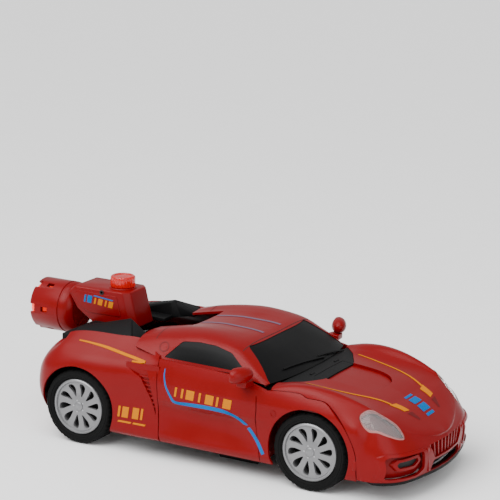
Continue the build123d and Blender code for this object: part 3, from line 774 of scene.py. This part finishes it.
plan_edge = [tuple(p) for p in spline(NOSE_PLAN, 40)]
inner_edge = [(x - 5.2, y * 0.93) for x, y in plan_edge]
splitter_left = plan_edge + inner_edge[::-1]
splitter = [prism("splitter_left", splitter_left, "z", 12.0, 13.7, "black"),
            prism("splitter_right", [(x, -y) for x, y in splitter_left], "z", 12.0, 13.7, "black")]
grille.append(prism("low_back", LOW_MOUTH, "x", 142, 146.4, "black"))
give(join("nose_grille", grille + splitter), "chest", ["front_grille"])
nose_extra += vanes

# printed marks on the hood, and a patch of painted shade for the nose dent
HOOD_STRIPE = [(72, 36.8), (88, 34.2), (104, 30.4), (123.4, 22.6)]
HOOD_FLASH = [(123.0, 24.6), (131.6, 21.4), (132.6, 15.6), (124.4, 17.6)]
NOSE_DENT_SHADE = [(133.4, 20.6), (139.6, 15.4), (139.2, 13.6), (133.8, 14.6)]
stripe_width = [0.4 + 0.55 * i / 39 for i in range(40)]
for side in (1, -1):
    line, flash, dent = [[(x, y * side) for x, y in points]
                         for points in (HOOD_STRIPE, HOOD_FLASH, NOSE_DENT_SHADE)]
    nose_extra.append(strip_along("hood_stripe", [hood_at(x, y) for x, y in spline(line, 40)],
                                  stripe_width, 0.2, "yellow"))
    nose_extra.append(patch("hood_flash", flash, hood_at, "yellow", 8, 0.2))
    # the nose dent is a flat patch of darker red: painted shade, with no dent in the sheet
    nose_extra.append(patch("nose_dent_shade", dent, hood_at, "red_shaded", 4, 0.12))
for k, (x, w) in enumerate(((123.5, 1.6), (126.6, 4.6), (132.6, 4.6), (138.6, 1.6))):
    bar = [(x, -4.6), (x + w, -4.6), (x + w, 5.4), (x, 5.4)]
    nose_extra.append(patch(f"nose_bar_{k}", bar, hood_at, "blue", 6, 0.2))
give(join("hood_skin", [hood_sheet, cowl] + nose_extra), "chest", ["hood_shell", "front_bumper"])
give(join("headlamps", lamps), "chest", ["headlight_lenses"])
give(join("hatch_skin", [hatch, hatch_back]), "head", ["hood_hatch"])

# ---- cabin: roof, windshield and side glass ----
# each row: x and its (y, z) points, or None and whole (x, y, z) points
CABIN = [
    (None, [(53, 53.6, 60.5), (53.3, 53, 60.7), (53.8, 52, 60.9), (54.4, 51, 61), (56.2, 46, 61.2),
            (58.4, 36, 61.3), (60, 24, 61.4), (60.8, 12, 61.5), (61, 0, 61.5)]),
    (None, [(46, 54.2, 61.6), (46, 53.2, 63.4), (46, 52, 65), (46.2, 50.6, 66.3), (47.2, 45, 67.6),
            (48.4, 36, 68.2), (49.5, 24, 68.4), (50.2, 12, 68.5), (50.4, 0, 68.5)]),
    (None, [(38, 54.2, 64), (38, 52.3, 67), (38, 50.4, 69.6), (38.1, 48.4, 71.4), (38.7, 43.6, 73),
            (39.3, 35, 74), (39.9, 24, 74.5), (40.3, 12, 74.5), (40.4, 0, 74.5)]),
    (30, [(53.8, 64.2), (51.5, 69), (49.2, 73), (46.6, 75.8), (42, 77.6), (34, 78.8), (24, 79.3),
          (12, 79.3), (0, 79.2)]),
    (21, [(53.7, 64.2), (51.2, 69.8), (48.6, 74.6), (45.8, 78), (41, 80), (34, 81), (24, 81.2), (12, 80.8),
          (0, 80.6)]),
    (10, [(53.6, 64.2), (51.2, 70), (48.4, 75.5), (45.6, 79), (40, 81.6), (33, 82.6), (24, 82.3),
          (14, 81.3), (0, 81)]),
    (0, [(53.6, 64.2), (51, 70.2), (48.2, 75.6), (45.2, 79.4), (39.6, 82), (32, 83), (23, 82.4),
         (13, 81.4), (0, 81.2)]),
    (-10, [(53.4, 64.4), (50.8, 70), (48, 75.2), (44.8, 78.8), (39, 81.4), (31.5, 82.5), (22.5, 81.7),
           (13, 80.6), (0, 80.4)]),
    (-20, [(53.2, 65), (50.4, 70), (47.6, 74.4), (44.2, 77.6), (38.4, 80.2), (31, 81.3), (22.5, 80.2),
           (13, 79.2), (0, 79)]),
    (-31, [(52.4, 67.2), (49.8, 70.6), (47, 73.8), (43.4, 76.4), (37.8, 78.4), (30.6, 79.2), (23, 78),
           (13, 77.4), (0, 77.3)]),
    (-43, [(50.6, 69.6), (48.4, 71.4), (45.8, 73), (42.4, 74.6), (37, 75.6), (30, 75.9), (23, 75.4),
           (13, 75), (0, 74.9)]),
]
cabin_rows = [row if x is None else [(x, y, z) for y, z in row] for x, row in CABIN]
cabin = whole(surface("cabin_half", cabin_rows, 90, 130, "red"), "cabin_sheet")
roof_at = sampler(cabin)
roof_side = sampler(cabin, 1)
cabin = solidify(cabin, 1.5)
boolean(cabin, block("roof_notch", -60, -19, -20, 20, 60, 95, "dark", 0))
SIDE_GLASS = rounded([(-20.8, 66.2), (-10, 77.0), (2, 78.2), (14, 77.8), (26, 75.2), (38.2, 66.4),
                      (38, 65.6)], 1.6, 5)
SCREEN = rounded([(-51.5, 58.5), (51.5, 58.5), (50.4, 62.2), (37.4, 77.9), (-37.4, 77.9), (-50.4, 62.2)],
                 2.0, 6)
side_glass = []
for side in (1, -1):
    pane = piece_of(cabin, "pane", shrunk(SIDE_GLASS, 0.3), "y", 43 * side, 62 * side)
    side_glass.append(paint(shift(pane, 0, -0.3 * side, 0), "window"))
screen = piece_of(cabin, "screen", shrunk(SCREEN, 0.3), "x", 30.6, 66)
paint(shift(screen, -0.3, 0, -0.2), "window")
for side in (1, -1):
    cut_out(cabin, SIDE_GLASS, "y", 43 * side, 62 * side)
cut_out(cabin, SCREEN, "x", 30.3, 66, folded=True)
roof_extra = []
for side in (1, -1):
    line = [(x, (9.5 + 0.04 * (x + 18)) * side) for x in np.linspace(-18, 28, 30)]
    roof_extra.append(strip_along("roof_stripe", [roof_at(x, y) for x, y in line], 1.3, 0.18, "lilac"))
for x, y0, y1 in ((31.5, -44, 44), (-30.5, 21, 45.5), (-30.5, -45.5, -21)):
    seam = [roof_at(x + 0.012 * (40 - abs(y)), y) for y in np.linspace(y0, y1, 40)]
    roof_extra.append(strip_along("roof_seam", seam, 0.2, 0.1, "dark"))
# a ring of darker red on each rear pillar: painted shade, drawn on the smooth sheet
circle = [(-22.5 + 3.2 * math.cos(a), 72.0 + 2.6 * math.sin(a)) for a in np.linspace(0, 2 * math.pi, 33)]
for side in (1, -1):
    ring = [(p * (1, side, 1), n * (1, side, 1)) for p, n in [roof_side(x, z) for x, z in circle]]
    roof_extra.append(strip_along("pillar_ring_shade", ring, 0.3, 0.15, "red_shaded"))
wipers = []
for x0, y0, x1, y1 in ((59.2, 14, 53.5, -32), (59.2, 40, 57.0, 8)):
    line = [(x0 + (x1 - x0) * t, y0 + (y1 - y0) * t) for t in np.linspace(0, 1, 16)]
    wipers.append(solidify(strip_along("wiper", [roof_at(x, y) for x, y in line], 0.5, 0.9, "black"), 0.6))
give(join("roof_skin", [cabin] + roof_extra), "roof", ["roof_shell"])
give(join("screen_glass", [screen] + wipers), "roof", ["windshield"])
give(join("side_glass", side_glass), "roof", ["side_windows"])

# ---- wheels ----
SPOKES = 10
NUTS = 5
TREAD_STEPS = 144
TREAD_FLOOR = 0.968  # how far out a groove's floor stands, as a share of the tread
TYRE = [(18.5, 42), (20.5, 40.4), (23.2, 40.4), (24.5, 41.8), (24.8, 43.6), (24.8, 46.2), (24.2, 46.5),
        (24.2, 47.3), (24.8, 47.6), (24.8, 52.4), (24.2, 52.7), (24.2, 53.5), (24.8, 53.8), (24.8, 56.4),
        (24.4, 58.4), (23.3, 59.5), (22.4, 59.6), (22.2, 59.9), (21.0, 59.9), (20.8, 59.5), (19.6, 59.3),
        (18.7, 58.4), (18.5, 57), (18.5, 42)]
BARREL = [(18.4, 57.6), (18.2, 58.9), (17.5, 59.4), (16.7, 59.2), (16.2, 58.2), (15.8, 55), (15.6, 43),
          (18.4, 43), (18.4, 57.6)]
FACE = [(0.01, 57.9), (4.8, 57.8), (6.2, 57.2), (11, 56.7), (16.2, 58.0), (16.2, 55.4), (11, 54.6),
        (0.01, 54.6), (0.01, 57.9)]
HUB = [(0.01, 59.0), (2.4, 58.9), (3.0, 58.4), (3.1, 57.7), (4.8, 57.5), (5.4, 56.8), (5.4, 53), (0.01, 53)]


def tyre_mesh():
    """A tyre with a groove pressed in at every third step round its tread."""
    tyre = turned("tyre", TYRE, ORIGIN, "y", "rubber", TREAD_STEPS)
    for v in tyre.data.vertices:
        r = math.hypot(v.co.x, v.co.z)
        step = int(round(math.atan2(v.co.z, v.co.x) / (2 * math.pi) * TREAD_STEPS)) % 3
        if r > 24.4 * MM and step == 0:
            v.co.x *= TREAD_FLOOR
            v.co.z *= TREAD_FLOOR
    return tyre


def rim_mesh():
    """A rim with curved slots between its spokes, a hub and small nuts."""
    # a near-black disc behind the spokes: painted shade seen through the slots
    spoke_shade = [(0.01, 48), (15.5, 48), (15.5, 48.8), (0.01, 48.8)]
    pieces = [turned("barrel", BARREL, ORIGIN, "y", "silver"), turned("hub", HUB, ORIGIN, "y", "silver"),
              turned("spoke_shade", spoke_shade, ORIGIN, "y", "dark")]
    face = turned("face", FACE, ORIGIN, "y", "silver", 120)
    half = ((6.4, 0.3), (8, 0.75), (10.4, 1.5), (12.4, 2.1), (14.0, 2.1), (15.0, 1.2))
    outline = [(r, w + 0.010 * r * r) for r, w in half] + [(r, -w + 0.010 * r * r) for r, w in half[::-1]]
    for k in range(SPOKES):
        a = 2 * math.pi * k / SPOKES
        c, s = math.cos(a), math.sin(a)
        points = [(r * c - t * s, r * s + t * c) for r, t in outline]
        boolean(face, prism(f"hole_{k}", rounded(points, 0.6, 3), "y", 50, 62, "silver"))
    pieces.append(bevel(face, 0.25, 2))
    for k in range(NUTS):
        a = 2 * math.pi * (k + 0.5) / NUTS
        pieces.append(turned(f"nut_{k}", [(0.01, 58.1), (0.5, 58.0), (0.55, 57.2)],
                             (3.9 * math.cos(a), 0, 3.9 * math.sin(a)), "y", "steel", 12))
    return join("rim", pieces)


base_tyre, base_rim = tyre_mesh(), rim_mesh()
for end, axle in (("front", FRONT_AXLE), ("rear", REAR_AXLE)):
    for label in ("left", "right"):
        for kind, source, slot_name in (("tyre", base_tyre, "rubber"), ("rim", base_rim, "silver_plastic")):
            made = copy_of(source, f"{kind}_look_{end}_left")
            made.data.transform(Matrix.Translation((axle[0] * MM, 0, axle[1] * MM)))
            if label == "right":
                first = made
                made = mirrored(first, f"{kind}_look_{end}_right")
                bpy.data.objects.remove(first)
            give(made, f"wheel_{end}_{label}", [f"{kind}_{end}_{label}"])
bpy.data.objects.remove(base_tyre)
bpy.data.objects.remove(base_rim)

# ---- spray turret ----
TURRET = [(-67, 68.2), (-73, 91.3), (-114.5, 91.5), (-120.5, 86.5), (-112, 76), (-104, 72), (-100, 68.2)]
TURRET_PANEL = [(-77.5, 75), (-81, 88.4), (-111.5, 88.7), (-115.6, 85.4), (-109, 77.6), (-102.5, 74.6)]


def wrap(bm):
    """Replaces loose points by the convex faces round them."""
    made = bmesh.ops.convex_hull(bm, input=bm.verts)
    inside = [v for v in made["geom_interior"] if isinstance(v, bmesh.types.BMVert)]
    bmesh.ops.delete(bm, geom=inside, context="VERTS")
    bmesh.ops.dissolve_limit(bm, angle_limit=0.01, verts=bm.verts, edges=bm.edges)


def hull_of(name, points, look, r=0.5):
    """The closed faceted solid that wraps the points."""
    return bevel(edited(add(name, points, [], look, smooth=False), wrap), r)


turret_points = []
for s in (1, -1):
    turret_points += [(-73, 9.5 * s, 91.3), (-77.2, 14 * s, 91.2), (-67, 9.5 * s, 68.2),
                      (-71.2, 14 * s, 68.2), (-114.5, 12.6 * s, 91.5), (-113, 14 * s, 90.6),
                      (-120.5, 11 * s, 86.5), (-118.4, 14 * s, 86.2), (-112, 14 * s, 76),
                      (-104, 14 * s, 72), (-100, 14 * s, 68.2)]
turret = hull_of("turret_body", turret_points, "red", 0.9)
FILLER_HOLE = [(0.01, 86), (5.5, 86), (5.5, 99), (0.01, 99), (0.01, 86)]
FILLER_RING = [(5.5, 90.9), (5.5, 92.0), (9.0, 92.0), (9.4, 91.6), (9.4, 90.9), (5.5, 90.9)]
# each bar: x, z, width, height, look
TURRET_BARS = [(-106.5, 81.6, 1.3, 5.0, "blue"), (-104.0, 81.6, 3.4, 5.0, "blue"),
               (-98.6, 81.2, 1.3, 4.2, "yellow"), (-95.6, 81.0, 3.4, 4.2, "yellow"),
               (-90.2, 80.6, 1.3, 4.2, "yellow"), (-87.4, 80.3, 3.4, 4.2, "yellow"),
               (-99.0, 86.4, 15.0, 0.7, "blue")]
SCREW = [(1.6, 14.2), (1.6, 14.6), (0.9, 14.6), (0.9, 14.0), (0.01, 14.0)]
boolean(turret, turned("filler_hole", FILLER_HOLE, (CAP_X, 0, 0), "z", "dark"))
turret_pieces = [turret, turned("filler_ring", FILLER_RING, (CAP_X, 0, 0), "z", "red")]
for side in (1, -1):
    panel = prism("turret_panel", rounded(TURRET_PANEL, 1.6), "y", 13.4 * side, 14.5 * side, "red")
    turret_pieces.append(bevel(panel, 0.35))
    for k, (x, z, w, h, look) in enumerate(TURRET_BARS):
        bar = [(x, z), (x + w, z - 0.1 * w), (x + w + 0.9, z + h - 0.1 * w), (x + 0.9, z + h)]
        turret_pieces.append(prism(f"turret_bar_{k}", bar, "y", 14.4 * side, 14.65 * side, look))
    turret_pieces.append(turned("turret_screw", [(r, y * side) for r, y in SCREW], (-92.5, 0, 89.6), "y",
                                "dark", 24))
give(join("turret_skin", turret_pieces), "base", ["turret_shell"])

NOZZLE = [(12.5, -117), (15.4, -118.6), (17.3, -122.4), (17.5, -124.4), (16.9, -124.8), (16.9, -126.2),
          (17.5, -126.6), (17.5, -147.4), (16.6, -148.6), (15.4, -148.6), (14.9, -147.8), (14.9, -124),
          (12.5, -121), (12.5, -117)]
nozzle = turned("nozzle_body", NOZZLE, (0, 0, NOZZLE_Z), "x", "red", 120)
for k in range(6):
    a = 2 * math.pi * (k + 0.5) / 6
    for x0, x1, half in ((-156, -144.6, 3.0), (-139.5, -134.5, 1.7)):
        slot_cut = block("nozzle_slot", x0, x1, -half, half, 13, 22, "dark", 0)
        slot_cut.data.transform(Matrix.Translation((0, 0, NOZZLE_Z * MM)) @ Matrix.Rotation(a, 4, "X"))
        boolean(nozzle, slot_cut)
boolean(nozzle, prism("turret_room", TURRET, "y", -14.2, 14.2))
give(join("nozzle_skin", [nozzle]), "base", ["nozzle"])
LENS = [(0.01, -152.2), (2.4, -152.2), (2.7, -151), (8, -151.6), (12, -150.6), (14.2, -148.6),
        (14.8, -146), (14.8, -143), (0.01, -143)]
# the lens's emission is a painted glow; the nozzle holds no lamp
nozzle_dome = turned("nozzle_dome", LENS, (0, 0, NOZZLE_Z), "x", "lens_red")
give(join("nozzle_glow", [nozzle_dome]), "base", ["nozzle_lens"])
CAP = [(0.01, 98.9), (5.6, 98.9), (6.1, 99.4), (7.4, 99.4), (8.1, 98.9), (8.3, 98.2), (8.3, 92.7),
       (8.0, 92.3), (5.8, 92.3), (5.8, 95.8), (4.0, 95.8), (4.0, 93.6), (0.01, 93.6)]
CAP_RIBS = 24
# the clear red cap's emission is a painted glow; the cap holds no lamp
cap = turned("cap_body", CAP, (CAP_X, 0, 0), "z", "clear_red", 144)
for v in cap.data.vertices:
    x, y = v.co.x - CAP_X * MM, v.co.y
    if math.hypot(x, y) > 7.8 * MM:
        k = 1 - 0.030 * (0.5 + 0.5 * math.cos(CAP_RIBS * math.atan2(y, x)))
        v.co.x, v.co.y = CAP_X * MM + x * k, y * k
give(join("cap_look", [cap]), "filler_cap", ["filler_cap"])


# ---- rear deck ----
WING = [(-60.5, 28, 80), (-63, 24.6, 78.4), (-96, 36, 70.8), (-96, 28, 70.2), (-50.6, 44.0, 73.0),
        (-50.4, 44.4, 69.2), (-97, 44, 67.6), (-97, 26, 67.6), (-61, 24.4, 68.4), (-51, 31, 68.8)]
WING_FRONT = [(-59.8, 28.2, 79.6), (-59.8, 26.5, 76.5), (-47.8, 46.2, 70.6), (-46.6, 38, 71.8),
              (-46.2, 31, 72.0), (-47.6, 30, 69.6), (-48.6, 45, 69.0), (-60.6, 26.4, 70)]
deck = []
for side in (1, -1):
    for name, points, radius in (("deck_wing", WING, 0.5), ("deck_front", WING_FRONT, 0.3)):
        deck.append(hull_of(name, [(x, y * side, z) for x, y, z in points], "black", radius))
    low, high = sorted((14.4 * side, 27 * side))
    deck.append(block("deck_floor", -97.5, -61, low, high, 67.7, 70, "black"))
deck.append(block("deck_back", -104, -97.6, -44, 44, 62.4, 67.4, "black", 0.8))
# thin black houses over the rear wheels close the view through the arches
HOUSE_OUTER, HOUSE_INNER = 29.4, 28.4
house_turn = np.linspace(math.radians(8), math.radians(172), 40)
house_line = [(REAR_AXLE[0] + r * math.cos(a), REAR_AXLE[1] + r * math.sin(a))
              for r, turns in ((HOUSE_OUTER, house_turn), (HOUSE_INNER, house_turn[::-1])) for a in turns]
for low, high in ((38.4, 57.0), (-57.0, -38.4)):
    deck.append(prism("wheel_house", house_line, "y", low, high, "black"))
give(join("deck_skin", deck), "base", ["rear_deck"])

# ---- robot pieces: plain mouldings with softened edges ----
MOULDED = [
    ("shin_boxes", "base", "black_plastic", 0.5),
    ("shin_plates", "base", "silver_plastic", 0.4),
    ("foot_block", "base", "black_plastic", 0.6),
    ("toe_caps", "base", "red_plastic", 0.6),
    ("thigh_plates", "torso", "silver_plastic", 0.4),
    ("thigh_tips", "torso", "red_plastic", 0.4),
    ("waist_guard", "torso", "gold_plastic", 0.35),
    ("chest_plate", "torso", "red_plastic", 0.5),
    ("torso_frame", "torso", "black_plastic", 0.4),
    ("shoulder_left", "shoulder_left", "black_plastic", 0.4),
    ("shoulder_right", "shoulder_right", "black_plastic", 0.4),
]


def merge_flats(bm):
    bmesh.ops.remove_doubles(bm, verts=bm.verts, dist=0.00001)
    bmesh.ops.dissolve_limit(bm, angle_limit=math.radians(1), verts=bm.verts, edges=bm.edges)


for name, body, slot_name, radius in MOULDED:
    moulding = edited(copy_of(frame["nodes"][name], name + "_look"), merge_flats)
    give(bevel(moulding, radius), body, [name])



# ---- stage, light and camera ----
FLOOR_HALF, FLOOR_Z = 3000, -0.05
floor = add("floor", [(x * FLOOR_HALF, y * FLOOR_HALF, FLOOR_Z) for x,
                      y in ((-1, -1), (1, -1), (1, 1), (-1, 1))], [(0, 1, 2, 3)], "floor", smooth=False)


def area_light(name, place, size, power):
    """A soft light that looks at the middle of the car."""
    data = bpy.data.lights.new(name, "AREA")
    data.shape = "RECTANGLE"
    data.size, data.size_y = size[0] * MM, size[1] * MM
    data.energy = power
    ob = new_object(name, data)
    ob.location = Vector(place) * MM
    ob.rotation_euler = (Vector((0, 0, 40)) * MM - ob.location).to_track_quat("-Z", "Y").to_euler()


area_light("key", (-250, -700, 900), (900, 700), 9)
area_light("fill", (800, -500, 450), (700, 700), 4)
sky = bpy.data.lights.new("sky", "SUN")
sky.energy = 3.4
sky.angle = math.radians(70)
sky_lamp = new_object("sky", sky)
sky_lamp.rotation_euler = (math.radians(24), math.radians(-12), 0)
world = bpy.data.worlds.new("studio")
bpy.context.scene.world = world
world.use_nodes = True
world.node_tree.nodes["Background"].inputs["Color"].default_value = (1, 1, 1, 1)
world.node_tree.nodes["Background"].inputs["Strength"].default_value = 0.62

CAMERA_PLACE = (592.34, -1059.87, 416.98)
CAMERA_TARGET = (10.76, 0.0, 129.28)
CAMERA_ROLL = math.radians(1.107)
camera_data = bpy.data.cameras.new("camera")
camera_data.lens = 140.43
camera_data.sensor_width = 36.0
camera_data.clip_start = 0.05
camera_data.clip_end = 20.0
camera = new_object("camera", camera_data)
camera.location = Vector(CAMERA_PLACE) * MM
aim = (Vector(CAMERA_TARGET) * MM - camera.location).to_track_quat("-Z", "Y").to_matrix().to_4x4()
camera.rotation_euler = (aim @ Matrix.Rotation(CAMERA_ROLL, 4, "Z")).to_euler()
bpy.context.scene.camera = camera
